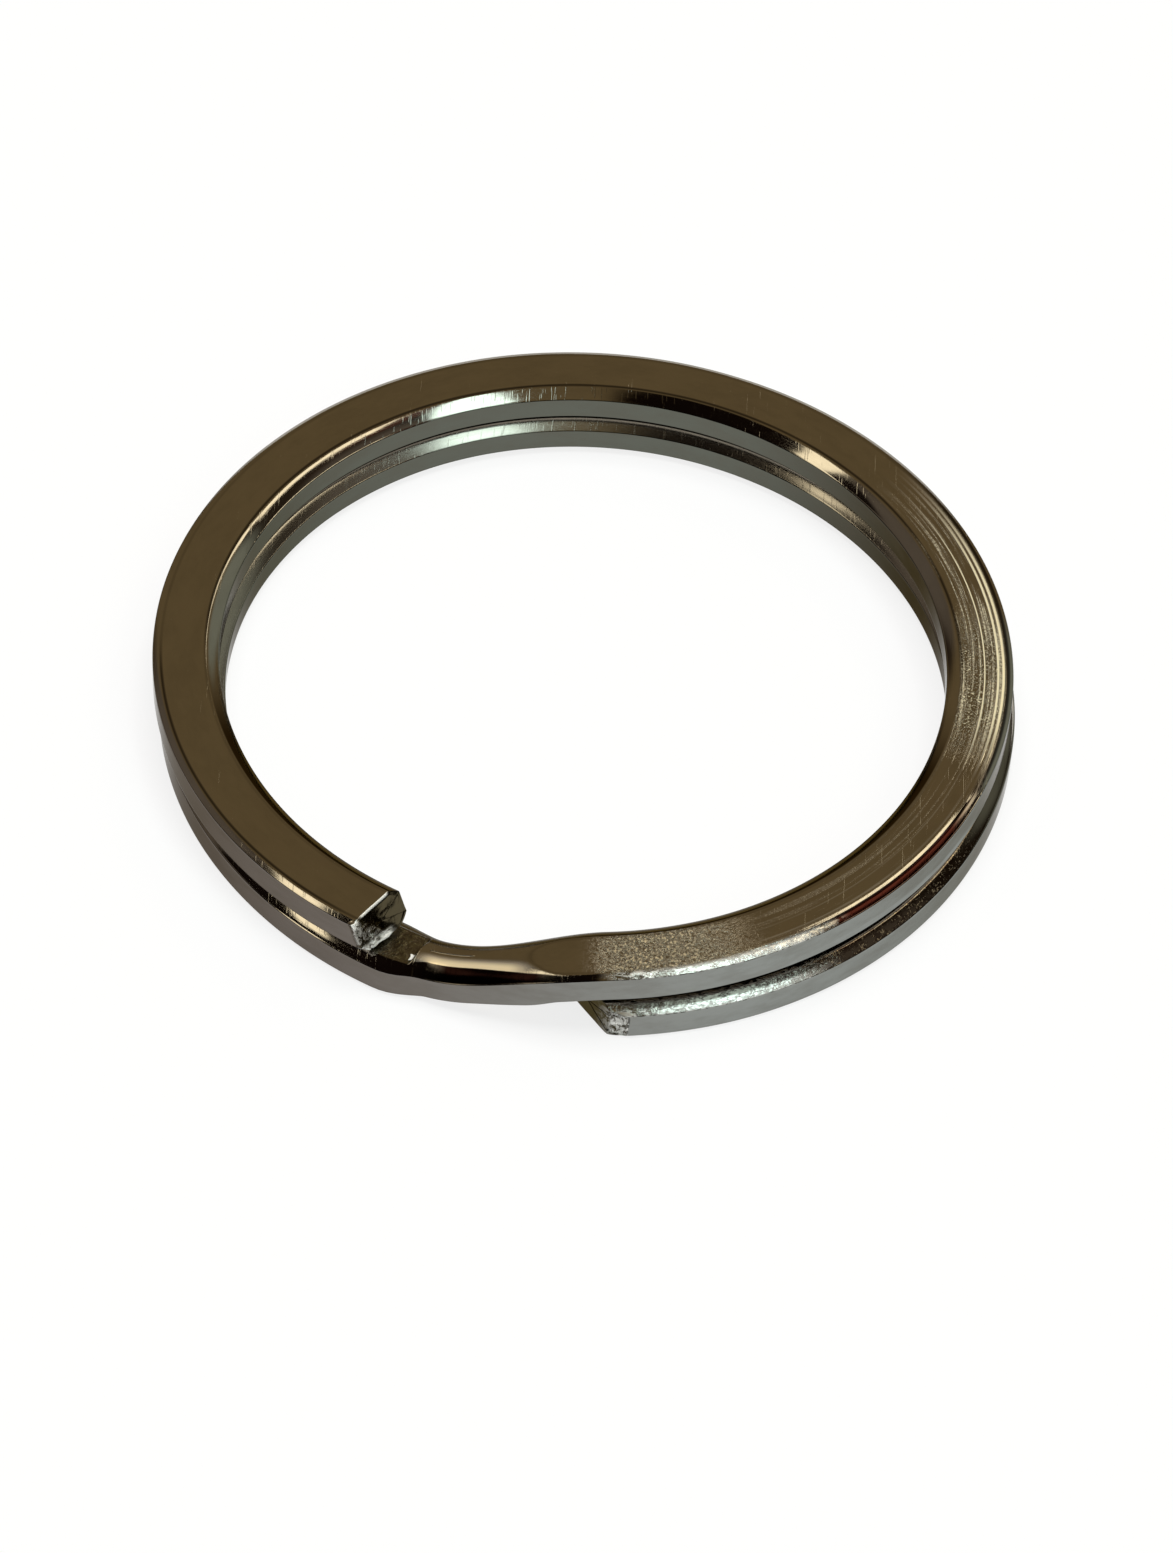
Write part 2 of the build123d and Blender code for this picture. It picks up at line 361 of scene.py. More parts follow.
def section_points(angle):
    """Closed outline of the wire at one station: top, inner wall, bottom, outer wall."""
    half = half_width + (jog_half_width - half_width) * narrowed(angle)
    top_x, top_y = side_points(top_side, angle, half)
    low_x, low_y = side_points(bottom_side, angle, half)
    outer_top_x, outer_top_y = corner_points(top_x[0], top_y[0], half)
    inner_top_x, inner_top_y = corner_points(top_x[-1], top_y[-1], -half)
    inner_low_x, inner_low_y = corner_points(low_x[-1], low_y[-1], -half)
    outer_low_x, outer_low_y = corner_points(low_x[0], low_y[0], half)
    wall = eased(WALL_POINTS)[1:-1]
    inner_y = inner_top_y[0] + (-inner_low_y[0] - inner_top_y[0]) * wall
    outer_y = -outer_low_y[0] + (outer_top_y[0] + outer_low_y[0]) * wall
    x = np.concatenate([
        outer_top_x, top_x, inner_top_x[::-1], np.full(len(wall), -half),
        inner_low_x, low_x[::-1], outer_low_x[::-1], np.full(len(wall), half),
    ])
    y = np.concatenate([
        outer_top_y, top_y, inner_top_y[::-1], inner_y,
        -inner_low_y, -low_y[::-1], -outer_low_y[::-1], outer_y,
    ])
    return x, y


outline_x, outline_y = section_points(lower_end_angle + DEGREES_ROUND / 3)
AROUND = len(outline_x)
print("points round the section:", AROUND, "wire", round(outline_x.max() * 2, 3), "by",
      round(outline_y.max() * 2, 3))

# %% [markdown]
# ## The sheared ends
# Wire is cut off in a shear.  The blade first pushes a smooth, burnished band,
# then the rest snaps and leaves a rough, torn face.  Each end is a surface over
# the section: how far past the nominal cut the metal reaches at every point.  The
# upper end is cut almost square, leans, and is torn in its outer half.

# %% The upper end
upper_slant = math.radians(-9.0)     # of the cut, away from radial
upper_lean = math.radians(20.0)      # of the cut face, away from upright

ROUGH_GAIN, ROUGH_STEP, ROUGH_OCTAVES = 0.8, 2.2, 4
TORN_LEAN, TORN_STARTS = 0.9, 0.45   # line across the face from which it is torn
TORN_SET_BACK = 0.05                 # mm, of the torn part behind the smooth one
TORN_DEPTH = 0.09                    # mm, of its tears
BAND_DEPTH = 0.012                   # mm, of the streaks in the smooth part
STREAK = 0.4                         # share by which streaks are drawn out


def rough(x, y, grain, seed):
    """Repeatable torn texture between about -1 and 1."""
    values = [noise.fractal(Vector((a / grain, b / grain, seed)),
                            ROUGH_GAIN, ROUGH_STEP, ROUGH_OCTAVES)
              for a, b in zip(x, y)]
    return np.array(values)


def upper_end(x, y):
    """Reach of the upper end in mm along the wire, how torn it is, and its bright burr line.

    x is mm outwards and y mm upwards from the middle of the wire.  The burr is a thin lip under
    the top flat, made bright from every side, so it is also a painted highlight of the rounded
    edge; the lower rim and one corner are chipped as well."""
    reach = x * math.tan(upper_slant) - y * math.tan(upper_lean) / math.cos(upper_slant)
    torn_line = x - TORN_LEAN * y - TORN_STARTS + 0.25 * rough(x, y, grain=0.5, seed=3.0)
    torn = smooth_step(torn_line, -0.15, 0.25)
    reach += -TORN_SET_BACK * torn + TORN_DEPTH * torn * rough(x, y, grain=0.16, seed=7.0)
    reach += BAND_DEPTH * rough(x * STREAK, y, grain=0.3, seed=11.0)
    # Bright burr under the top flat, made bright from every side as a painted highlight of the
    # rounded edge.
    burr_and_glint = smooth_step(y, 0.63, 0.67) * smooth_step(0.80 - np.abs(x - 0.05), 0.0, 0.15)
    rim = smooth_step(-y, 0.34, 0.50) * smooth_step(x, -0.45, -0.15)
    corner = smooth_step(x, 0.84, 0.98) * smooth_step(y, 0.25, 0.40)
    chips = smooth_step(rough(x, y, grain=0.22, seed=21.0), -0.45, -0.15)
    return reach, torn, np.maximum(burr_and_glint, np.maximum(rim, corner) * chips)


across = np.linspace(-half_width, half_width, 5)
print("upper end's reach across its middle, in mm:",
      upper_end(across, np.zeros(5))[0].round(2))

# %% [markdown]
# The lower end lies under the other coil, and its cut is slanted much more.  Its
# outer corner didn't shear: it snapped off along a plane of its own, so here the
# face is the higher of two planes, and only the broken one is torn.

# %% The lower end
lower_slant = math.radians(35.0)
break_back = 0.20                # mm, setback of the broken corner along the cut
break_turn = math.radians(15.0)  # break plane's heading from straight outward
BREAK_DEPTH = 0.07               # mm, of the tears in it
CUT_DEPTH = 0.010                # mm, of the streaks in the cut


def lower_end(x, y):
    """The same for the lower end, where the wire begins.  It has no burr and no painted edge
    highlight.
    """
    cut = x * math.tan(lower_slant)
    along_cut = half_width / math.cos(lower_slant) - break_back
    snap_x = along_cut * math.cos(lower_slant)
    snap_reach = along_cut * math.sin(lower_slant)
    broken = snap_reach + (x - snap_x) / math.tan(break_turn)
    torn = smooth_step(broken - cut + 0.06 * rough(x, y, grain=0.4, seed=5.0), -0.02, 0.08)
    reach = np.maximum(cut, broken)
    reach += BREAK_DEPTH * torn * rough(x, y, grain=0.15, seed=9.0)
    reach += CUT_DEPTH * rough(x, y * STREAK, grain=0.3, seed=13.0)
    return reach, torn, np.zeros_like(x)


print("lower end's reach across its middle, in mm:",
      lower_end(across, np.zeros(5))[0].round(2))


# %% [markdown]
# ## Sweep the wire
# The stations are one degree apart on the coils and closer in the jog.  Near
# each end the stations bend so that the last one lies on the cut face.  A rim of
# a few closely spaced stations rounds the cut's edge, and concentric rings of
# points fill the face.

# %% Choose the stations
END_ZONE = 9.0                   # degrees near each end over which stations bend
COIL_STEP, JOG_STEP, FINE_STEP = 1.0, 0.30, 0.125   # degrees between stations
fine_from, fine_to = jog_start - 1.5, jog_start + 3.0   # round the lower coil's step


def spread(first, last, step):
    """Evenly spaced stations, both ends included."""
    return np.linspace(first, last, max(2, round((last - first) / step) + 1))


stations = np.unique(np.round(np.concatenate([
    spread(lower_end_angle + END_ZONE, fine_from, COIL_STEP),
    spread(fine_from, fine_to, FINE_STEP),
    spread(fine_to, jog_end, JOG_STEP),
    spread(jog_end, upper_end_angle - END_ZONE, COIL_STEP),
]), 4))
degrees_per_mm = math.degrees(1.0 / mean_radius)
print("stations:", len(stations))

# %% [markdown]
# The mesh also remembers how each point was made, because the plating looks different there:
# pressed by the tool, left as an upright wall, torn, cut by the blade, or bright as a burr, which
# is also a painted highlight of the end's rounded edge.  Each is a mask from 0 to 1, kept beside
# the points, and the material reads them by name.

# %% What the points know about themselves
MASKS = ("pressed", "wall", "torn", "cut", "burr_and_glint")
PRESSED_FADE = 0.03              # mm below the arch over which a flat is counted
WALL_FADE = (0.05, 0.005)        # mm from the widest place


def pressed_mask(angle, x, y):
    """1 where a flat was pressed, 0 where the blank's own surface is left."""
    top_arch, _ = top_side(angle, x)
    low_arch, _ = bottom_side(angle, x)
    above = np.where(y > 0, arch_height(top_arch, x), arch_height(low_arch, x))
    inside = np.abs(x) < np.abs(x).max() - CORNER
    return np.where(inside, smooth_step(above - np.abs(y), 0.0, PRESSED_FADE), 0.0)


def wall_mask(x):
    """1 on the upright walls, 0 on the shoulders and flats."""
    starts, full = (np.abs(x).max() - distance for distance in WALL_FADE)
    return smooth_step(np.abs(x), starts, full)


print("points on the walls:", int(wall_mask(outline_x).round().sum()), "of", AROUND)

# %% [markdown]
# A ring of points is put into the world from the wire's own directions.  On a
# slanted cut every point has its own place along the wire.  The outline can also
# be moved inwards, which rounds the edge of a cut.

# %% Place a ring of points
def placed(angles, x, y):
    """Points of one ring, each at its own running angle."""
    middle, outward, up, _ = wire_frame(angles)
    return middle + x[:, None] * outward + y[:, None] * up


def inset(x, y, distance):
    """Outline moved inwards by a distance."""
    along_x = np.roll(x, -1) - np.roll(x, 1)
    along_y = np.roll(y, -1) - np.roll(y, 1)
    length = np.hypot(along_x, along_y)
    return x - distance * along_y / length, y + distance * along_x / length


print("a ring inset by a corner's radius is",
      round(float(np.ptp(inset(outline_x, outline_y, CORNER)[0])), 3), "mm wide")

# %% [markdown]
# An end is built from the body outwards: stations that bend until they follow
# the cut, a few that round its edge, and then the face, ring within ring.

# %% Rings of an end
RIM = 0.06                       # mm, radius of the edge round a cut face
RIM_STATIONS = 5
FACE_RINGS = 16
BENT_STATIONS = 25
CROWDING = 1.6                   # how much closer the bent stations get near the cut
TORN_FROM = 0.93                 # share of the bent stations at which tears begin


def bend_shares():
    """Shares of the way to the cut, closer together near it."""
    return 1.0 - (1.0 - np.linspace(0.0, 1.0, BENT_STATIONS + 1)[1:]) ** CROWDING


def end_rings(end_angle, inner_angle, reach_of, sense):
    """Rings from the body of the wire out to the middle of a cut face."""
    x, y = section_points(inner_angle)
    pressed, wall = pressed_mask(inner_angle, x, y), wall_mask(x)
    none, full = np.zeros(AROUND), np.ones(AROUND)
    reach, torn, burr_and_glint = reach_of(x, y)
    end = end_angle + reach * degrees_per_mm * mean_radius / (mean_radius + x)
    stop = end - sense * RIM * degrees_per_mm
    made = []
    for share in bend_shares():
        angles = inner_angle + (stop - inner_angle) * share
        torn_here = torn * smooth_step(share, TORN_FROM, 1.0)
        made.append((placed(angles, x, y), pressed, wall, torn_here))
    for turned in np.linspace(0.0, math.pi / 2, RIM_STATIONS)[1:]:
        angles = end - sense * RIM * (1.0 - math.sin(turned)) * degrees_per_mm
        rim_x, rim_y = inset(x, y, RIM * (1.0 - math.cos(turned)))
        made.append((placed(angles, rim_x, rim_y), none, none, torn, full, burr_and_glint))
    face_x, face_y = inset(x, y, RIM)
    for size in np.linspace(1.0, 0.0, FACE_RINGS + 1)[1:-1]:
        now_x, now_y = face_x * size, face_y * size
        reach, torn, burr_and_glint = reach_of(now_x, now_y)
        angles = end_angle + reach * degrees_per_mm * mean_radius / (mean_radius + now_x)
        made.append((placed(angles, now_x, now_y), none, none, torn, full, burr_and_glint))
    return made


print("rings of an end:", BENT_STATIONS + RIM_STATIONS - 1 + FACE_RINGS - 1)

# %% [markdown]
# Now the whole wire can be put together: the lower end, all stations of the two
# coils and the jog between them, and the upper end.  The lower end is built
# outwards too, so its rings are taken in reverse.

# %% Put all rings in a row, from one end to the other
rings, ring_masks = [], []


def add_ring(points, *masks):
    """Keeps a ring of points and its masks; the ones not given are 0."""
    rings.append(points)
    ring_masks.append(list(masks) + [np.zeros(AROUND)] * (len(MASKS) - len(masks)))


for ring in reversed(end_rings(lower_end_angle, stations[0], lower_end, -1.0)):
    add_ring(*ring)
for angle in stations:
    x, y = section_points(angle)
    same_angle = np.full(AROUND, angle)
    add_ring(placed(same_angle, x, y), pressed_mask(angle, x, y), wall_mask(x))
for ring in end_rings(upper_end_angle, stations[-1], upper_end, 1.0):
    add_ring(*ring)

points = np.array(rings)
print("rings:", len(points), "points:", points.shape[0] * points.shape[1])

# %% [markdown]
# Pressed metal is never quite true.  A shallow waviness, a few thousandths of a
# millimetre deep, bends the reflections in the flats and walls a little, as on
# the real ring.  It only ever moves the surface inwards, so the ring keeps its
# size.

# %% Add the slight waviness
WAVE_DEPTH = 0.010               # mm
WAVE_LENGTH = 3.2                # mm


def surface_directions(grid):
    """Outward direction at every point of the sweep."""
    along = np.gradient(grid, axis=0)
    round_wire = np.roll(grid, -1, axis=1) - np.roll(grid, 1, axis=1)
    direction = np.cross(along, round_wire)
    length = np.linalg.norm(direction, axis=-1, keepdims=True)
    return direction / np.maximum(length, 1e-9)


directions = surface_directions(points)
wave = np.array([noise.noise(Vector(p / WAVE_LENGTH)) for p in points.reshape(-1, 3)])
depth = WAVE_DEPTH * (0.5 + 0.5 * wave).reshape(points.shape[:2])
points = points - directions * depth[..., None]
print("deepest wave in mm:", round(float(depth.max()), 4))

# %% [markdown]
# ## One closed mesh
# Neighbouring rings are joined by four-sided faces, and one point in the middle
# of each cut face closes it.  The ring is a single piece of wire, so it is a
# single mesh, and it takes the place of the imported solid.

# %% Join the rings
def join_rings(count, around):
    """Faces between all rings, and fans to the two middle points that come last."""
    faces = []
    for row in range(0, (count - 1) * around, around):
        above = row + around
        for j in range(around):
            k = (j + 1) % around
            faces.append((row + j, above + j, above + k, row + k))
    first, last = count * around, count * around + 1
    last_row = (count - 1) * around
    for j in range(around):
        k = (j + 1) % around
        faces.append((first, j, k))
        faces.append((last, last_row + k, last_row + j))
    return faces


def build_wire_mesh():
    """The wire as a smooth mesh that carries its masks."""
    middles = [rings[0].mean(axis=0), rings[-1].mean(axis=0)]
    verts = np.vstack([points.reshape(-1, 3), *middles]) * MM
    faces = join_rings(*points.shape[:2])
    mesh = bpy.data.meshes.new("wound_wire")
    mesh.from_pydata([tuple(v) for v in verts], [], faces)
    mesh.polygons.foreach_set("use_smooth", [True] * len(faces))
    values = np.array(ring_masks)
    for number, name in enumerate(MASKS):
        layer = mesh.attributes.new(name, "FLOAT", "POINT")
        ends = [values[0, number].mean(), values[-1, number].mean()]
        layer.data.foreach_set("value", np.concatenate([values[:, number].ravel(), ends]))
    mesh.validate()
    return mesh


wire_mesh = build_wire_mesh()
ring_piece = bpy.data.objects.new("wound_wire", wire_mesh)
bpy.context.scene.collection.objects.link(ring_piece)
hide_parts("split_ring")
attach(ring_piece, "root")
print("faces:", len(wire_mesh.polygons))

# %% [markdown]
# ## Node helpers
# The material is built from nodes.  A few helpers keep that readable: one adds a
# node and sets or links its inputs, and the others are the sums, ramps and mixes
# that every pattern needs.

# %% Helpers that add nodes
def add_node(tree, kind, values=None, **settings):
    """Adds a node; values gives its inputs by name, as sockets or as numbers."""
    made = tree.nodes.new(kind)
    for name, value in settings.items():
        setattr(made, name, value)
    for key, value in (values or {}).items():
        if isinstance(value, bpy.types.NodeSocket):
            tree.links.new(value, made.inputs[key])
        else:
            made.inputs[key].default_value = value
    return made


def maths(tree, operation, first, second=0.0):
    """Result of a sum on two values, either of which may be a socket."""
    return add_node(tree, "ShaderNodeMath", {0: first, 1: second}, operation=operation).outputs[0]


def ramp(tree, value, low, high, out_low=0.0, out_high=1.0):
    """Smoothly maps a value from one range to another and stops at its ends."""
    values = {"Value": value, "From Min": low, "From Max": high,
              "To Min": out_low, "To Max": out_high}
    made = add_node(tree, "ShaderNodeMapRange", values, interpolation_type="SMOOTHSTEP")
    return made.outputs["Result"]


def blend(tree, share, first, second):
    """Colour between two others: 0 is the first, 1 the second."""
    values = {0: share, 6: first, 7: second}      # the mix node's places for colours
    return add_node(tree, "ShaderNodeMix", values, data_type="RGBA").outputs[2]


print("helpers for sums and colours ready")

# %% [markdown]
# Some patterns need directions as well: how long they are, and how far two of
# them agree.  The second one tells a flat from a wall, and a window in the room
# from the wall beside it.

# %% Helpers for directions
def vector_maths(tree, operation, values, output=0):
    """Result of a sum on vectors."""
    return add_node(tree, "ShaderNodeVectorMath", values, operation=operation).outputs[output]


def lengthened(tree, vector, factor):
    """Vector times a factor."""
    return vector_maths(tree, "SCALE", {0: vector, "Scale": factor})


def agreement(tree, first, second):
    """How far two directions agree: 1 where they are the same, 0 where square."""
    return vector_maths(tree, "DOT_PRODUCT", {0: first, 1: second}, "Value")


print("helpers for directions ready")

# %% [markdown]
# Patterns that are used in several places become node groups, with named inputs
# and outputs.  A group only gives out masks, heights and places, so the shader
# itself stays in the material, where it can be seen.

# %% Helpers that make and use groups
def new_group(name, inputs, outputs):
    """Empty node group with named inputs and outputs."""
    group = bpy.data.node_groups.new(name, "ShaderNodeTree")
    for label, value in inputs.items():
        socket = group.interface.new_socket(label, in_out="INPUT", socket_type="NodeSocketFloat")
        socket.default_value = value
    for label, kind in outputs.items():
        group.interface.new_socket(label, in_out="OUTPUT", socket_type=kind)
    given = group.nodes.new("NodeGroupInput").outputs
    return group, given, group.nodes.new("NodeGroupOutput").inputs


def use_group(tree, group, values=None):
    """Outputs of a group that is put into a tree."""
    return add_node(tree, "ShaderNodeGroup", values, node_tree=group).outputs


NUMBER, VECTOR = "NodeSocketFloat", "NodeSocketVector"
print("helpers for groups ready")

# %% [markdown]
# ## Where a point lies on the ring
# Every mark on this ring runs along the wire or across it, so the patterns need
# to know the radius, the height and the direction from the middle, not x and y.
# Fine patterns use the direction as a unit vector instead of an angle, so that
# they have no seam.

# %% Group: ring coordinates
coordinates, _, out = new_group("ring coordinates", {}, {
    "Radius": NUMBER, "Height": NUMBER, "Heading": VECTOR, "Place": VECTOR, "Angle": NUMBER})
place = add_node(coordinates, "ShaderNodeTexCoord").outputs["Object"]
in_mm = lengthened(coordinates, place, 1.0 / MM)
parts = add_node(coordinates, "ShaderNodeSeparateXYZ", {0: in_mm}).outputs
level = add_node(coordinates, "ShaderNodeCombineXYZ", {0: parts[0], 1: parts[1]}).outputs[0]
turn = maths(coordinates, "ARCTAN2", parts[1], parts[0])
for socket, label in (
        (vector_maths(coordinates, "LENGTH", {0: level}, "Value"), "Radius"),
        (parts[2], "Height"),
        (vector_maths(coordinates, "NORMALIZE", {0: level}), "Heading"),
        (in_mm, "Place"),
        (maths(coordinates, "MULTIPLY", turn, math.degrees(1.0)), "Angle")):
    coordinates.links.new(socket, out[label])
print("ring coordinates give", [socket.name for socket in out if socket.name])

# %% [markdown]
# ## Lines drawn along the wire
# The wire was pulled through a die and then rubbed against others in a polishing
# drum.  Both leave hair-thin lines along it.  Noise that changes quickly with
# radius and height but slowly with direction draws them.

# %% Group: drawn lines
drawn_lines, given, out = new_group(
    "drawn lines", {"Per mm": 9.0, "Wander": 3.0, "Seed": 0.0}, {"Mask": NUMBER})
ring = use_group(drawn_lines, coordinates)
slow = lengthened(drawn_lines, ring["Heading"], given["Wander"])
slow_parts = add_node(drawn_lines, "ShaderNodeSeparateXYZ", {0: slow}).outputs
fast_radius = maths(drawn_lines, "MULTIPLY", ring["Radius"], given["Per mm"])
fast_height = maths(drawn_lines, "MULTIPLY", ring["Height"], given["Per mm"])
lane = add_node(drawn_lines, "ShaderNodeCombineXYZ",
                {0: slow_parts[0], 1: slow_parts[1], 2: fast_radius}).outputs[0]
hair = add_node(drawn_lines, "ShaderNodeTexNoise",
                {"Vector": lane, "W": maths(drawn_lines, "ADD", fast_height, given["Seed"]),
                 "Scale": 1.0, "Detail": 3.0, "Roughness": 0.7}, noise_dimensions="4D")
drawn_lines.links.new(ramp(drawn_lines, hair.outputs["Fac"], 0.35, 0.70), out["Mask"])
print("drawn lines are made of", len(drawn_lines.nodes), "nodes")

# %% [markdown]
# ## Torn and flaked metal
# Where the wire was sheared or dragged over another edge, the surface is a field
# of tiny facets.  Cells with a random height each, softened a little, catch the
# light as single bright points.

# %% Group: torn metal
torn_metal, given, out = new_group(
    "torn metal", {"Per mm": 9.0}, {"Height": NUMBER, "Tint": NUMBER})
ring = use_group(torn_metal, coordinates)
cell_place = lengthened(torn_metal, ring["Place"], given["Per mm"])
bend = add_node(torn_metal, "ShaderNodeTexNoise",
                {"Vector": cell_place, "Scale": 0.5, "Detail": 2.0}).outputs["Color"]
bent = vector_maths(torn_metal, "ADD", {0: cell_place, 1: bend})
cells = add_node(torn_metal, "ShaderNodeTexVoronoi", {"Vector": bent, "Scale": 1.0},
                 feature="SMOOTH_F1").outputs["Distance"]
grain = add_node(torn_metal, "ShaderNodeTexNoise",
                 {"Vector": bent, "Scale": 1.7, "Detail": 4.0, "Roughness": 0.65}).outputs["Fac"]
torn_metal.links.new(maths(torn_metal, "ADD", cells, grain), out["Height"])
torn_metal.links.new(ramp(torn_metal, grain, 0.38, 0.62), out["Tint"])
print("torn metal is made of", len(torn_metal.nodes), "nodes")

# %% [markdown]
# ## Handling marks
# Keys and other rings leave short straight scratches in every direction.  A
# stretched noise, turned to four headings, gives four sets of them.

# %% Group: hair scratches
SCRATCH_HEADINGS = (12.0, 57.0, 101.0, 149.0)    # degrees
SCRATCH_SCALE = (14.0, 0.45, 2.0)    # for each mm: across a scratch, along it, in height
SEED_STEP = 7.3                      # keeps the sets apart

scratches, given, out = new_group("hair scratches", {"Amount": 0.5, "Seed": 0.0}, {"Mask": NUMBER})
ring = use_group(scratches, coordinates)
total = 0.0
for number, degrees in enumerate(SCRATCH_HEADINGS):
    turned = add_node(scratches, "ShaderNodeMapping",
                      {"Vector": ring["Place"], "Rotation": (0.0, 0.0, math.radians(degrees)),
                       "Scale": SCRATCH_SCALE}).outputs[0]
    seed = maths(scratches, "ADD", given["Seed"], SEED_STEP * number)
    hairs = add_node(scratches, "ShaderNodeTexNoise",
                     {"Vector": turned, "W": seed, "Scale": 1.0, "Detail": 1.0},
                     noise_dimensions="4D").outputs["Fac"]
    total = maths(scratches, "MAXIMUM", ramp(scratches, hairs, 0.66, 0.72), total)
scratches.links.new(maths(scratches, "MULTIPLY", total, given["Amount"]), out["Mask"])
print("sets of scratches:", len(SCRATCH_HEADINGS))

# %% [markdown]
# ## Where the marks are
# Wear isn't spread evenly.  A window over the running angle says where round the
# ring a mark begins, is full and ends again.  Angles are in degrees from +X, so
# -90 is the front.

# %% Group: stretch of the ring
stretch, given, out = new_group("stretch of the ring", {
    "Begins": -90.0, "Full from": -80.0, "Full to": -70.0, "Ends": -60.0}, {"Mask": NUMBER})
ring = use_group(stretch, coordinates)
coming = ramp(stretch, ring["Angle"], given["Begins"], given["Full from"])
going = ramp(stretch, ring["Angle"], given["Ends"], given["Full to"])
stretch.links.new(maths(stretch, "MULTIPLY", coming, going), out["Mask"])
print("node groups:", [group.name for group in bpy.data.node_groups])

# %% [markdown]
# ## The plating
# Nickel is a warm, slightly yellow white metal, and a mirror, so its colour in the material is
# what it does to the light of the room.  The flats took the polish of the press tool.  The walls
# get darker, greyer colours that are painted reflection, and in the bore painted shade.

# %% A metal to begin with
plate = bpy.data.materials.new("nickel plate")
plate.use_nodes = True
tree = plate.node_tree
surface = tree.nodes["Principled BSDF"]
surface.inputs["Specular Tint"].default_value = (0.45, 0.43, 0.40, 1.0)


def product(*factors):
    """Several masks multiplied with each other."""
    result = factors[0]
    for factor in factors[1:]:
        result = maths(tree, "MULTIPLY", result, factor)
    return result


def largest(*masks):
    """The highest of several masks."""
    result = masks[0]
    for mask in masks[1:]:
        result = maths(tree, "MAXIMUM", result, mask)
    return result


def opposite(mask):
    """1 where a mask is 0."""
    return maths(tree, "SUBTRACT", 1.0, mask)


def around(begins, full_from, full_to, ends):
    """Window over a stretch of the ring, in degrees."""
    return use_group(tree, stretch, {"Begins": begins, "Full from": full_from,
                                     "Full to": full_to, "Ends": ends})["Mask"]


print("material:", plate.name)

# %% [markdown]
# The masks that were stored in the mesh come in by name.  The slope is how far
# the surface faces away from the ring's middle: 0 on a flat, 1 on the outer wall
# and -1 in the bore.  The upper coil sits a little to one side, so marks that
# follow its edge are measured from its own middle.

# %% What the surface knows about itself
ring = use_group(tree, coordinates)
pressed, wall, torn, cut, burr_and_glint = (
    add_node(tree, "ShaderNodeAttribute", attribute_name=name).outputs["Fac"] for name in MASKS)
right_side, far_side, _ = add_node(tree, "ShaderNodeSeparateXYZ", {0: ring["Heading"]}).outputs
normal = add_node(tree, "ShaderNodeNewGeometry").outputs["Normal"]
slope = agreement(tree, normal, ring["Heading"])
upper_radius = maths(tree, "ADD", ring["Radius"],
                     maths(tree, "MULTIPLY", right_side, float(coil_offset)))

outside = ramp(tree, ring["Radius"], 13.6, 14.1)
on_top = product(pressed, ramp(tree, ring["Height"], 2.0, 2.6))
shoulder_here = product(opposite(pressed), opposite(wall))
upper_shoulder = product(outside, ramp(tree, ring["Height"], 2.0, 2.4))
print("masks from the mesh:", MASKS)

# %% [markdown]
# A few textures are enough for every mark: drawn lines in three kinds, short
# smears, soft clouds of tarnish, scratches, and torn facets in three sizes.

# %% Textures that the marks share
def drawn(per_mm, wander, seed=0.0):
    """Drawn lines, so many for each mm; the more they wander, the shorter they are."""
    return use_group(tree, drawn_lines,
                     {"Per mm": per_mm, "Wander": wander, "Seed": seed})["Mask"]


lines = drawn(7.0, 3.0)
fine_lines = drawn(24.0, 5.0, 4.0)
long_lines = drawn(9.0, 1.8, 9.0)
smears = ramp(tree, drawn(7.0, 46.0, 5.0), 0.24, 0.46)
clouds = drawn(1.6, 9.0, 2.0)
scratch = use_group(tree, scratches, {"Amount": 0.6})["Mask"]
facets = use_group(tree, torn_metal, {"Per mm": 3.2})
flakes = use_group(tree, torn_metal, {"Per mm": 6.0})
grains = use_group(tree, torn_metal, {"Per mm": 11.0})
facets_tint = ramp(tree, facets["Tint"], 0.35, 0.65)
print("nodes so far:", len(tree.nodes))

# %% [markdown]
# ## Golden flakes
# Just after the jog the press rubbed the top flat instead of squeezing it.  The
# plating there is broken into small flakes with a golden sheen.  Big facets thin
# the flakes out in places, so that the field isn't even.

# %% Flakes
thinned = ramp(tree, facets["Tint"], 0.0, 0.6, 0.45, 1.0)
flaked = product(around(-89.0, -81.0, -77.0, -60.0), on_top, flakes["Tint"], thinned)
print("flakes begin near the end of the jog, at",
      round(jog_end - 2 * DEGREES_ROUND, 1), "degrees")

# %% [markdown]
# ## Streaks on the right-hand side
# Keys are threaded on round this side, and they polish bright grooves into the
# top flat: a few long ones that follow the coil, many short ones, and a sparkle
# of single grains between them.

# %% Streaks
GROOVES = ((14.63, 0.085), (14.44, 0.06), (13.97, 0.035))    # mm: radius and half width


def groove(radius, half_line):
    """Bright line round the upper coil at one radius."""
    away = maths(tree, "ABSOLUTE", maths(tree, "SUBTRACT", upper_radius, radius))
    return ramp(tree, away, half_line, half_line * 0.4)


broken_up = ramp(tree, flakes["Tint"], 0.2, 0.8, 0.45, 1.0)
short_streaks = product(ramp(tree, long_lines, 0.50, 0.80), broken_up, 0.75)
sparkle = product(ramp(tree, grains["Tint"], 0.70, 1.0), around(-20.0, -10.0, 0.0, 16.0),
                  ramp(tree, clouds, 0.0, 0.5, 0.4, 1.0))
streaks = largest(short_streaks, *[groove(*line) for line in GROOVES], sparkle)
faint_in_front = product(around(-76.0, -60.0, -30.0, -6.0), long_lines, 0.16)
rubbed = product(streaks, on_top, largest(around(-22.0, -6.0, 16.0, 44.0), faint_in_front))
print("grooves at radii in mm:", [radius for radius, _ in GROOVES])
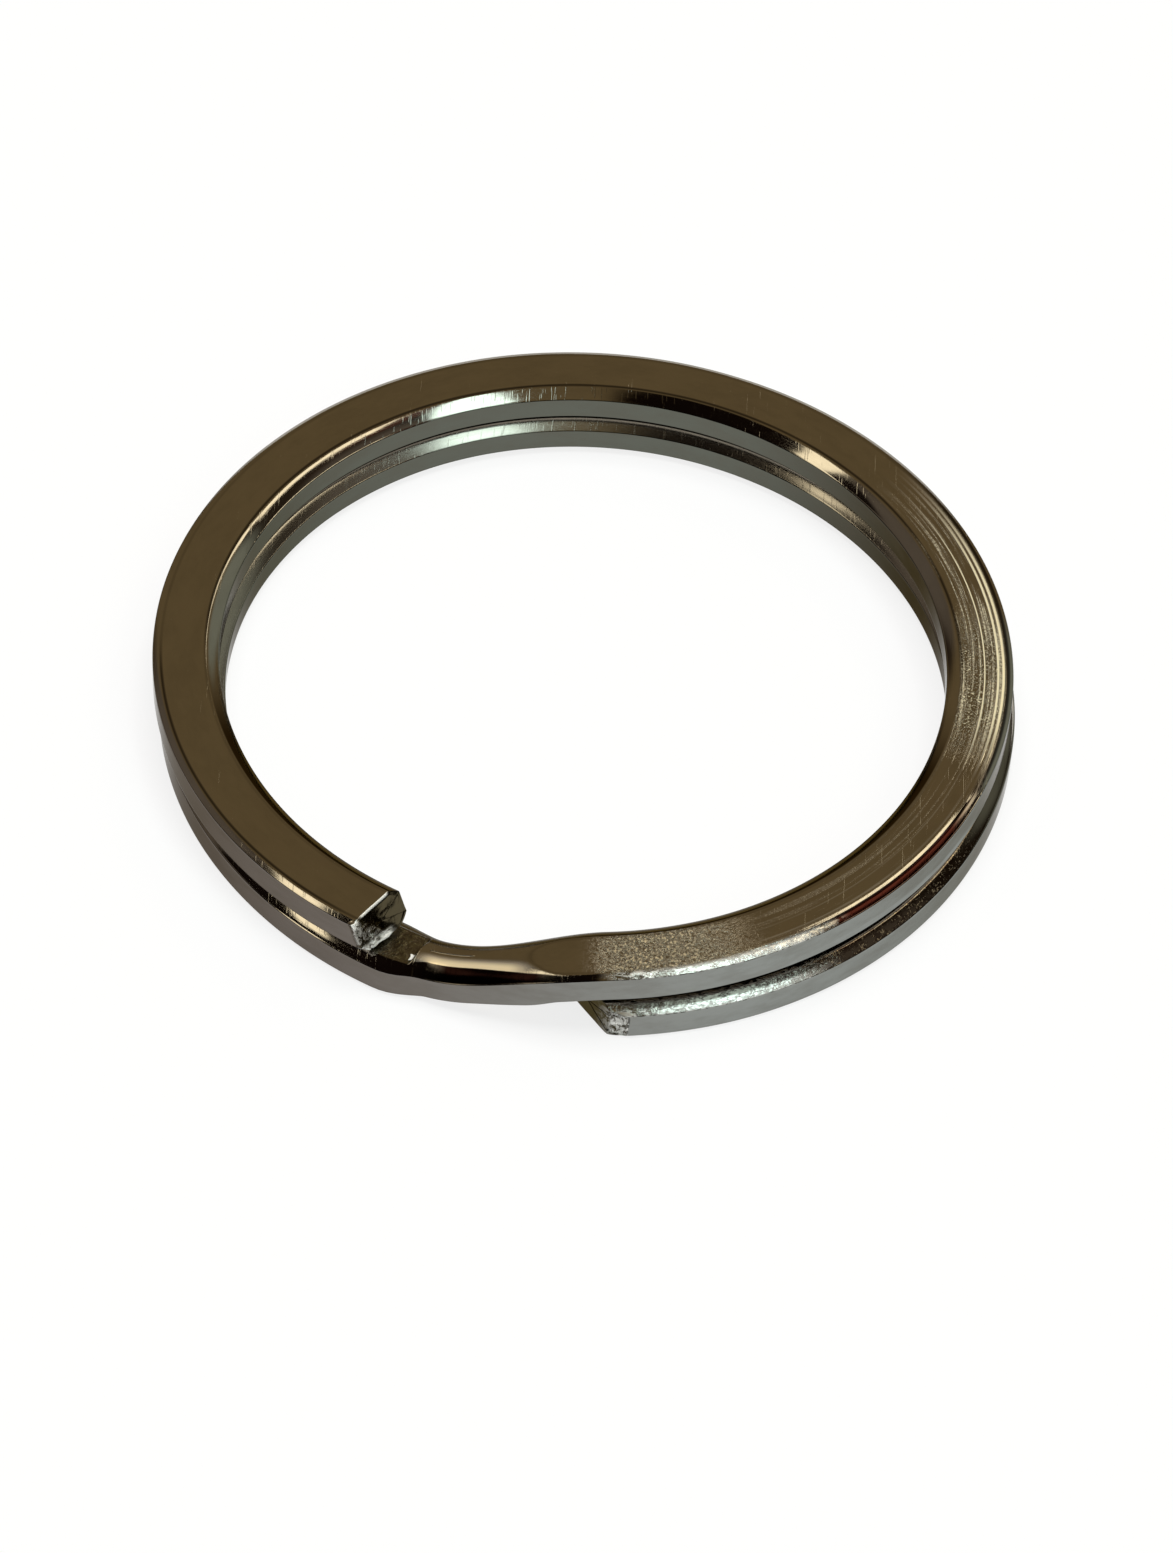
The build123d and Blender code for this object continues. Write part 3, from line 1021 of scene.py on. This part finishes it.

# %% [markdown]
# ## Chewed shoulders and torn ends
# Beside the flakes the outer shoulders of both coils were dragged over another edge.  They are
# smeared bright where metal was pushed along and pitted in between, and in the gap between the
# coils they are painted black as shade.  The broken corner and the torn half of the upper end are
# made of bright and dark facets in the same way.

# %% Bright spots, pits and painted shade in the gap
chewed = product(around(-86.0, -80.0, -60.0, -50.0), shoulder_here, outside)
# Painted shade: the top of the lower coil's chewed shoulder, in the gap under the upper coil.
shaded_gap = product(ramp(tree, ring["Height"], 1.24, 1.32), ramp(tree, ring["Height"], 2.0, 1.6))
solid_bright = product(around(-84.0, -72.0, -58.0, -52.0), ramp(tree, slope, 0.95, 0.80), 0.85)
worn_bright = product(chewed, largest(smears, solid_bright))
lower_end_share = ramp(tree, ring["Angle"], -105.0, -95.0, 0.3, 1.0)
bright_spots = largest(product(torn, facets_tint, lower_end_share), worn_bright)
bright_spots = product(bright_spots, opposite(shaded_gap))
# Real pits, and painted shade in the gap between the coils.
pits_and_gap_shade = largest(product(torn, opposite(facets_tint), 0.6),
               product(chewed, opposite(worn_bright), 0.8),
               product(chewed, shaded_gap))
print("nodes so far:", len(tree.nodes))

# %% [markdown]
# ## Bed of the upper end
# Under the upper end the lower coil's flat stops at a step.  The corner of the end has scraped it
# dark.  One bright spot on the step is a painted highlight, where the step's edge catches the
# light.

# %% Scraped bed and painted highlight on the step
STEP_GLINT = (-5.17, -13.14, 1.43)         # mm
STEP_GLINT_RADIUS = (0.36, 0.30)           # mm, where it ends and where it is full

under_the_end = product(ramp(tree, ring["Height"], 2.1, 1.9), ramp(tree, ring["Height"], 1.0, 1.2))
scraped = product(around(-120.0, -119.0, -110.0, -108.0), pressed, under_the_end)
from_step_glint = vector_maths(tree, "DISTANCE", {0: ring["Place"], 1: STEP_GLINT}, "Value")
ragged = maths(tree, "ADD", from_step_glint, product(flakes["Height"], 0.25))
# Painted highlight: a bright spot on the step's edge.
bright_spots = largest(bright_spots, ramp(tree, ragged, *STEP_GLINT_RADIUS))
print("nick at", round(math.degrees(math.atan2(STEP_GLINT[1], STEP_GLINT[0])), 1), "degrees")

# %% [markdown]
# ## The jog
# The jog keeps the blank's round back.  It carries one golden band, a painted reflection of golden
# light, and below that a black band, a painted dark reflection.  A golden lamp would draw the band
# too, but it would also show on every other shoulder that faces the same way, so the golden
# reflection is painted into the plating.  Both marks are limited by slope, because they follow the
# roundness.

# %% Painted gold and dark reflections on the jog
jogged = product(around(-113.0, -106.0, -94.0, -86.0), shoulder_here)
# Painted dark reflection on the jog's lower slope.
jog_dark_reflection = product(jogged, ramp(tree, slope, 0.41, 0.44))
# Painted gold reflection on the jog's upper slope.
jog_gold_reflection = product(around(-112.0, -108.0, -98.0, -93.0), shoulder_here,
                 ramp(tree, slope, 0.08, 0.34), ramp(tree, slope, 0.44, 0.41))
print("the jog spans", [round(angle - 2 * DEGREES_ROUND, 1) for angle in (jog_start, jog_end)],
      "degrees")

# %% [markdown]
# ## Rolled edge
# On the right of the front the edge of the upper coil's flat is rolled over.  The bevel is less
# than a fifth of a millimetre wide, so relief in the material is enough for it: a cream line of
# light lies along it.  The dark red line under it is a painted reflection.  The relief is a slope
# between two radii, in mm of fall for each mm of width.

# %% Relief of the rolled edge
RELIEF_STEP = 0.0012                 # mm for each unit of relief

rolled = product(around(-72.0, -53.0, -31.0, -20.0), upper_shoulder)


def slope_between(begins, ends, fall):
    """Relief that falls away steadily between two radii of the upper coil."""
    reached = maths(tree, "MAXIMUM", maths(tree, "SUBTRACT", upper_radius, begins), 0.0)
    reached = maths(tree, "MINIMUM", reached, ends - begins)
    return product(reached, rolled, -fall / RELIEF_STEP)


bevel = slope_between(14.56, 14.74, 0.42)
steeper = slope_between(14.67, 14.74, 0.75)
# Painted reflection: the dark red line under the cream one.
red_line_under_cream = product(around(-55.0, -52.0, -30.0, -20.0), upper_shoulder,
                      ramp(tree, upper_radius, 14.68, 14.71), opposite(wall))
print("nodes so far:", len(tree.nodes))

# %% [markdown]
# ## Grime
# The bore's shoulders at the front and the lower coil's shoulder, which lies under the upper coil,
# are darkened with painted shade.  A rounded rim also gathers everything dark in the room into a
# hair line.  This room is too simple for that, so those lines along the rims of the flats and
# shoulders are painted as dark reflections.

# %% Painted shade and dark lines along the edges
inner_shoulder = product(shoulder_here, opposite(cut), ramp(tree, ring["Radius"], 13.75, 13.5),
                         ramp(tree, far_side, -0.1, -0.4))
# Painted shade on the bore's shoulders at the front, and a painted dark line along their rim.
bore_shoulder_shade = product(inner_shoulder, ramp(tree, slope, -0.28, -0.42))
rim_dark_line = product(inner_shoulder, ramp(tree, slope, -0.66, -0.74))

# Painted dark lines: a faint one along every flat's edge, black ones along the inner edge at the
# back and the outer edge at the front left.
edge = product(pressed, opposite(pressed))
inner_edge = product(edge, ramp(tree, ring["Radius"], 13.9, 13.6),
                     ramp(tree, far_side, -0.15, 0.10), 3.0)
outer_edge = product(edge, outside, around(-179.0, -170.0, -128.0, -112.0), 3.0)
# Painted dark reflection along the upper coil's outer rim on the right.
outer_rim_dark_line = product(around(-26.0, -21.0, 30.0, 50.0), upper_shoulder, shoulder_here,
                   ramp(tree, upper_radius, 14.90, 14.82), 0.85)

# Painted shade on the lower coil's shoulder under the upper coil.
shaded_lower_shoulder = product(around(-60.0, -52.0, -10.0, 0.0), shoulder_here, outside,
                    ramp(tree, ring["Height"], 1.7, 1.5))
# Stretch where the lower shoulder gets painted red-brown reflection streaks and golden specks.
streaked_stretch = around(-60.0, -54.0, -34.0, -18.0)
specks = product(shaded_lower_shoulder, ramp(tree, flakes["Tint"], 0.75, 1.0), smears, streaked_stretch, 0.6)
in_bore = product(shoulder_here, ramp(tree, ring["Radius"], 14.0, 13.6),
                  ramp(tree, ring["Height"], 1.8, 1.6))
print("nodes so far:", len(tree.nodes))

# %% [markdown]
# ## Colour
# First the three large areas: flats, outer wall and bore.  The walls' darker colours and their
# slow changes from left to right are painted reflection and shade; soft clouds of tarnish lie over
# them.  Then the marks are laid over them one after the other, the deepest first.

# %% Colour of the large areas
NICKEL = (0.50, 0.47, 0.42, 1.0)
DULL_NICKEL = (0.42, 0.395, 0.35, 1.0)
# Painted reflection and shade: the walls are darker than nickel, lighter on the right of the
# outside than on the left, and darker still in the bore, darkest on its right side.
LEFT_WALL_REFLECTION = (0.155, 0.135, 0.120, 1.0)
RIGHT_WALL_REFLECTION = (0.270, 0.285, 0.270, 1.0)
BORE_WALL_SHADE = (0.118, 0.124, 0.103, 1.0)
BORE_RIGHT_SHADE = (0.055, 0.046, 0.032, 1.0)
# Painted dark line along the flats' edges; also the tarnish in the walls' clouds.
OUTLINE = (0.10, 0.085, 0.065, 1.0)

# Painted reflection on the outer wall, painted shade in the bore.
outer_wall_reflection = blend(tree, ramp(tree, right_side, -0.6, 0.5), LEFT_WALL_REFLECTION, RIGHT_WALL_REFLECTION)
bore_wall_shade = blend(tree, ramp(tree, right_side, 0.3, 1.0), BORE_WALL_SHADE, BORE_RIGHT_SHADE)
wall_colour = blend(tree, outside, bore_wall_shade, outer_wall_reflection)
wall_colour = blend(tree, product(clouds, 0.25), wall_colour, OUTLINE)
flat_colour = blend(tree, product(clouds, 0.6), NICKEL, DULL_NICKEL)
colour = blend(tree, wall, flat_colour, wall_colour)
print("nodes so far:", len(tree.nodes))

# %% [markdown]
# The marks are a list of masks with a colour each.  Bright steel is plating that was scuffed or
# metal that was laid bare, and also the painted highlights on the step and along the upper end's
# edge.  The golden ones are thin plating, except the jog's band, which is a painted reflection.
# The dark ones are pits, painted shade and painted dark reflections.  The order matters: the burr
# and its painted highlight come last, so nothing covers them.

# %% Colour of the marks
GOLDEN = (0.80, 0.66, 0.42, 1.0)
# Painted gold reflection on the jog.
GOLD_REFLECTION = (0.95, 0.78, 0.50, 1.0)
SCUFFED = (0.98, 0.88, 0.60, 1.0)
# Bare bright steel; also the colour of the painted highlights on the step and along the upper
# end's edge.
BRIGHT_STEEL_AND_GLINT = (1.0, 1.0, 0.96, 1.0)
CUT_STEEL = (0.085, 0.072, 0.042, 1.0)
SCRAPED_STEEL = (0.26, 0.25, 0.19, 1.0)
# Pits, and painted shade in the gap between the coils.
PIT_AND_GAP_SHADE = (0.025, 0.021, 0.016, 1.0)
# Painted shade.
SHADE_BROWN = (0.085, 0.062, 0.032, 1.0)
# Painted reflection of dark red things in the room.
RED_BROWN_REFLECTION = (0.045, 0.012, 0.009, 1.0)
# Painted dark reflections: the jog's lower band and the dark lines along the rims.
DARK_REFLECTION = (0.009, 0.0035, 0.003, 1.0)

marks = (
    (edge, OUTLINE), (largest(inner_edge, outer_edge), DARK_REFLECTION),
    (flaked, GOLDEN), (rubbed, SCUFFED),
    (product(scraped, 0.7), CUT_STEEL), (product(scraped, facets_tint), SCRAPED_STEEL),
    (product(shaded_lower_shoulder, 0.6), SHADE_BROWN), (product(shaded_lower_shoulder, smears, streaked_stretch, 0.5), RED_BROWN_REFLECTION),
    (specks, GOLDEN), (outer_rim_dark_line, DARK_REFLECTION), (red_line_under_cream, RED_BROWN_REFLECTION),
    (bore_shoulder_shade, SHADE_BROWN), (rim_dark_line, DARK_REFLECTION), (jog_gold_reflection, GOLD_REFLECTION), (jog_dark_reflection, DARK_REFLECTION),
    (cut, CUT_STEEL), (bright_spots, BRIGHT_STEEL_AND_GLINT), (product(pits_and_gap_shade, 0.7), PIT_AND_GAP_SHADE),
    (burr_and_glint, BRIGHT_STEEL_AND_GLINT),
)
for mask, tone in marks:
    colour = blend(tree, mask, colour, tone)
tree.links.new(colour, surface.inputs["Base Color"])
print("marks laid over them:", len(marks))

# %% [markdown]
# ## Mirror, polish and relief
# Flakes, streaks and chips are too rough to mirror anything: they scatter the
# light and stay bright from every side.  Facets that fine can't be modelled one
# by one, so these places are made less metallic instead.  The chewed shoulders
# were also pressed smooth in part, so they keep some of their mirror.

# %% How much of a mirror
CHIP_SCATTER = 0.72                  # share of its light that a bright chip scatters
CHEWED_MIRROR = 0.34                 # of that, what chewed shoulders mirror after all

# The jog's painted gold reflection is made less metallic too, so it stays bright from every side.
scuffs = largest(product(flaked, 0.5), product(rubbed, 0.7), product(jog_gold_reflection, 0.65),
                 product(specks, 0.4))
# The painted highlights on the step and along the upper end's edge are among the chips, so they
# stay bright from every side.
chips = product(largest(bright_spots, burr_and_glint),
                maths(tree, "SUBTRACT", CHIP_SCATTER, product(worn_bright, CHEWED_MIRROR)))
tree.links.new(opposite(largest(scuffs, chips)), surface.inputs["Metallic"])
print("nodes so far:", len(tree.nodes))

# %% [markdown]
# The plating is polished in a drum, so it is nearly smooth to begin with, and
# every mark adds some roughness of its own.  Adding them up is simpler than
# mixing, and where two marks meet the place is rougher, as it should be.

# %% Polish
POLISH = 0.07                        # roughness of untouched plating

roughness = POLISH
for mask, amount in ((fine_lines, 0.04), (scratch, 0.10), (flaked, 0.20), (rubbed, 0.12),
                     (torn, 0.12), (chewed, 0.06), (scraped, 0.10), (burr_and_glint, 0.2),
                     (jogged, 0.07), (in_bore, 0.13)):
    roughness = maths(tree, "ADD", product(mask, amount), roughness)
tree.links.new(roughness, surface.inputs["Roughness"])
print("plating's roughness begins at", POLISH)

# %% [markdown]
# The relief of all marks is added up as well, in steps of about a micrometre.
# Lines are raised a little, scratches are cut in, and torn metal stands up most.
# It bends only the reflections: the shape itself is in the mesh.

# %% Relief
relief = maths(tree, "ADD", bevel, steeper)
for mask, height in ((lines, 0.5), (fine_lines, 0.25), (scratch, -1.0),
                     (product(facets["Height"], torn), 70.0), (product(smears, chewed), 16.0),
                     (product(facets["Height"], chewed), 12.0), (flaked, 24.0),
                     (product(facets["Height"], scraped), 26.0), (rubbed, 16.0)):
    relief = maths(tree, "ADD", product(mask, height), relief)
bump = add_node(tree, "ShaderNodeBump",
                {"Height": relief, "Strength": 1.0, "Distance": RELIEF_STEP * MM})
tree.links.new(bump.outputs["Normal"], surface.inputs["Normal"])
wire_mesh.materials.append(plate)
print("material nodes:", len(tree.nodes))

# %% [markdown]
# ## Table
# The ring lies on white paper.  The camera and the metal see it as nearly pure
# white, by a share of glow that only those rays meet, while the rest of it is
# matt and keeps the ring's soft shadow.

# %% White paper
PAPER_SIZE = 1.2                     # metres
PAPER_GLOW = 0.80                    # share of the white that needs no lamp


def light_path(tree):
    """1 for rays from the camera and for what metal shows, 0 for light on the object."""
    path = add_node(tree, "ShaderNodeLightPath").outputs
    seen = maths(tree, "MAXIMUM", path["Is Camera Ray"], path["Is Glossy Ray"])
    return maths(tree, "MAXIMUM", seen, path["Is Transmission Ray"])


def white_paper():
    """Matt white that stays white where it is seen, and keeps a soft shadow."""
    material = bpy.data.materials.new("white paper")
    material.use_nodes = True
    tree = material.node_tree
    matt = tree.nodes["Principled BSDF"]
    matt.inputs["Base Color"].default_value = (0.93, 0.93, 0.93, 1.0)
    matt.inputs["Roughness"].default_value = 0.9
    glow = add_node(tree, "ShaderNodeEmission", {"Color": (1.0, 1.0, 1.0, 1.0), "Strength": 1.0})
    share = maths(tree, "MULTIPLY", light_path(tree), PAPER_GLOW)
    mixed = add_node(tree, "ShaderNodeMixShader",
                     {0: share, 1: matt.outputs[0], 2: glow.outputs[0]})
    tree.links.new(mixed.outputs[0], tree.nodes["Material Output"].inputs["Surface"])
    return material


half = PAPER_SIZE / 2
corners = [(-half, -half, 0.0), (half, -half, 0.0), (half, half, 0.0), (-half, half, 0.0)]
paper_mesh = bpy.data.meshes.new("paper")
paper_mesh.from_pydata(corners, [], [(0, 1, 2, 3)])
paper_mesh.materials.append(white_paper())
paper = bpy.data.objects.new("paper", paper_mesh)
bpy.context.scene.collection.objects.link(paper)
print("paper:", PAPER_SIZE, "m wide")

# %% [markdown]
# ## Room
# A polished metal part shows its surroundings and nothing else, so the room is
# what gives it its look: a dim brown ceiling colours the flats, a dark figure
# behind the camera blackens the front shoulders, and a window and three lamps
# draw the white lines.  They are two to three times as bright as the paper, as
# real panes are, so the highlights stay white and keep their tint.

# %% Shapes on the room's walls
world = bpy.data.worlds.new("room")
bpy.context.scene.world = world
world.use_nodes = True
room = world.node_tree
view = add_node(room, "ShaderNodeTexCoord").outputs["Generated"]
view_x, view_y, view_z = add_node(room, "ShaderNodeSeparateXYZ", {0: view}).outputs
SOFT_EDGE = 0.02                     # of a pane, as a share of its distance


def patch(direction, inner, outer):
    """1 within an angle of a direction, 0 beyond a wider one."""
    aligned = agreement(room, view, Vector(direction).normalized())
    return ramp(room, aligned, math.cos(math.radians(outer)), math.cos(math.radians(inner)))


def pane(middle, end, width, taper=0.0):
    """1 inside a long pane, given by its middle, one end and its width in between."""
    middle, end = Vector(middle).normalized(), Vector(end).normalized()
    along = (end - middle * end.dot(middle)).normalized()
    ahead, forth, aside = [agreement(room, view, axis)
                           for axis in (middle, along, along.cross(middle))]
    forth = maths(room, "DIVIDE", forth, ahead)
    aside = maths(room, "ABSOLUTE", maths(room, "DIVIDE", aside, ahead))
    aside = maths(room, "SUBTRACT", aside, maths(room, "MULTIPLY", forth, taper))
    reach = math.tan(middle.angle(end))
    inside = ramp(room, maths(room, "ABSOLUTE", forth), reach + SOFT_EDGE, reach)
    inside = maths(room, "MULTIPLY", inside, ramp(room, aside, width / 2 + SOFT_EDGE, width / 2))
    return maths(room, "MULTIPLY", inside, ramp(room, ahead, 0.1, 0.2))


print("room ready for its colours")

# %% [markdown]
# The ceiling is lit brown and darkens towards the sides and the horizon.  Patches
# of wood and pale wall show in the bore and on the shoulders.  The figure stands
# behind the camera to the left, so the shoulders at the left of the front stay
# dark between their highlights.

# %% Brown room with a lamplit ceiling and a dark figure behind the camera
BROWN = (0.165, 0.118, 0.057, 1.0)
DARK_BROWN = (0.030, 0.020, 0.012, 1.0)
RED_WOOD = (0.100, 0.040, 0.025, 1.0)
PALE_WALL = (0.240, 0.250, 0.200, 1.0)
WARM_SHADE = (0.130, 0.105, 0.080, 1.0)
FIGURE = (0.006, 0.003, 0.002, 1.0)
PATCHES = (                          # direction, angles in degrees where full and where gone
    ((0.47, 0.02, 0.88), 6.0, 14.0, RED_WOOD),
    ((0.72, 0.58, 0.36), 10.0, 20.0, PALE_WALL),
    ((0.80, -0.35, 0.45), 12.0, 30.0, WARM_SHADE),
    ((-0.80, 0.25, 0.52), 12.0, 28.0, WARM_SHADE),
)

sideways = maths(room, "SUBTRACT", maths(room, "ABSOLUTE", view_x),
                 maths(room, "MULTIPLY", view_y, 0.3))
upwards = maths(room, "ADD", view_z, maths(room, "MULTIPLY", view_y, 0.25))
sky = blend(room, ramp(room, sideways, 0.42, 0.57), BROWN, DARK_BROWN)
sky = blend(room, ramp(room, upwards, 0.30, 0.15), sky, DARK_BROWN)
for direction, inner, outer, tone in PATCHES:
    sky = blend(room, patch(direction, inner, outer), sky, tone)
in_front = maths(room, "MULTIPLY", ramp(room, view_y, 0.08, 0.00), ramp(room, view_x, 0.00, -0.12))
sky = blend(room, in_front, sky, FIGURE)
print("patches on the walls:", len(PATCHES))

# %% [markdown]
# The window is the cool white light on the front shoulders and at the back of the
# bore.  It is a pane seen at a slant, so it tapers.  The three cream lamps draw
# the thin warm lines on the left, inside the ring and along the rolled edge.

# %% Window and lamps
WINDOW_LIGHT = (2.40, 3.00, 2.85, 1.0)
CREAM_LIGHT = (2.00, 1.75, 1.25, 1.0)
PANES = (                            # middle, end, width, taper
    ((0.385, -0.345, 0.856), (0.482, -0.654, 0.581), 0.235, 0.19, WINDOW_LIGHT),
    ((-0.64, -0.12, 0.76), (-0.735, -0.31, 0.60), 0.12, 0.0, CREAM_LIGHT),
    ((0.554, 0.203, 0.807), (0.615, 0.385, 0.69), 0.20, 0.0, CREAM_LIGHT),
    ((0.40, 0.57, 0.70), (0.22, 0.70, 0.68), 0.10, 0.0, CREAM_LIGHT),
)
for middle, end, width, taper, tone in PANES:
    sky = blend(room, pane(middle, end, width, taper), sky, tone)
room.links.new(sky, room.nodes["Background"].inputs["Color"])
print("panes of light:", len(PANES), "room nodes:", len(room.nodes))

# %% [markdown]
# The paper and the rough chips need light of their own.  One broad lamp high
# above the table gives it, and the metal doesn't mirror that lamp.

# %% Daylight for the paper
DAYLIGHT = 2.75                  # on the table; pi lights white paper to white
LAMP_SIZE = 0.6                  # metres
LAMP_HEIGHT = 1.0                # metres

daylight = bpy.data.lights.new("daylight", "AREA")
daylight.size = LAMP_SIZE
daylight.energy = math.pi * DAYLIGHT
lamp = bpy.data.objects.new("daylight", daylight)
lamp.location = (0.0, 0.0, LAMP_HEIGHT)
lamp.visible_glossy = False      # the metal shows the windows in the room instead
bpy.context.scene.collection.objects.link(lamp)
print("lamp:", round(daylight.energy, 2), "W at", LAMP_HEIGHT, "m")

# %% [markdown]
# ## The camera
# The camera looks down at the ring from the front through a long lens, about
# seventeen centimetres above the paper, and is turned a few degrees about its own
# axis.  A long lens keeps the ring's true proportions.

# %% Camera
LOOK_DOWN = math.radians(48.1)
CAMERA_ROLL = math.radians(3.87)
CAMERA_DISTANCE = 225.0          # mm
CAMERA_AIM = np.array([0.27, -5.83, 3.0])        # mm
FOCAL_LENGTH, FILM_WIDTH = 152.4, 36.0           # mm
NEAREST, FURTHEST = 0.01, 10.0                   # metres that the camera can see

eye = CAMERA_AIM + CAMERA_DISTANCE * np.array([0.0, -math.cos(LOOK_DOWN), math.sin(LOOK_DOWN)])
sight = (CAMERA_AIM - eye) / CAMERA_DISTANCE
level_right = unit(np.cross(sight, [0.0, 0.0, 1.0]))
level_up = np.cross(level_right, sight)
right = math.cos(CAMERA_ROLL) * level_right + math.sin(CAMERA_ROLL) * level_up
upright = math.cos(CAMERA_ROLL) * level_up - math.sin(CAMERA_ROLL) * level_right

lens = bpy.data.cameras.new("camera")
lens.sensor_width = FILM_WIDTH
lens.lens = FOCAL_LENGTH
lens.clip_start, lens.clip_end = NEAREST, FURTHEST
camera = bpy.data.objects.new("camera", lens)
bpy.context.scene.collection.objects.link(camera)
columns = np.column_stack([right, upright, -sight, eye * MM])
camera.matrix_world = Matrix([*columns.tolist(), [0.0, 0.0, 0.0, 1.0]])
bpy.context.scene.camera = camera
bpy.context.scene.view_settings.view_transform = "Standard"
print("camera at", (eye * MM).round(3), "m")
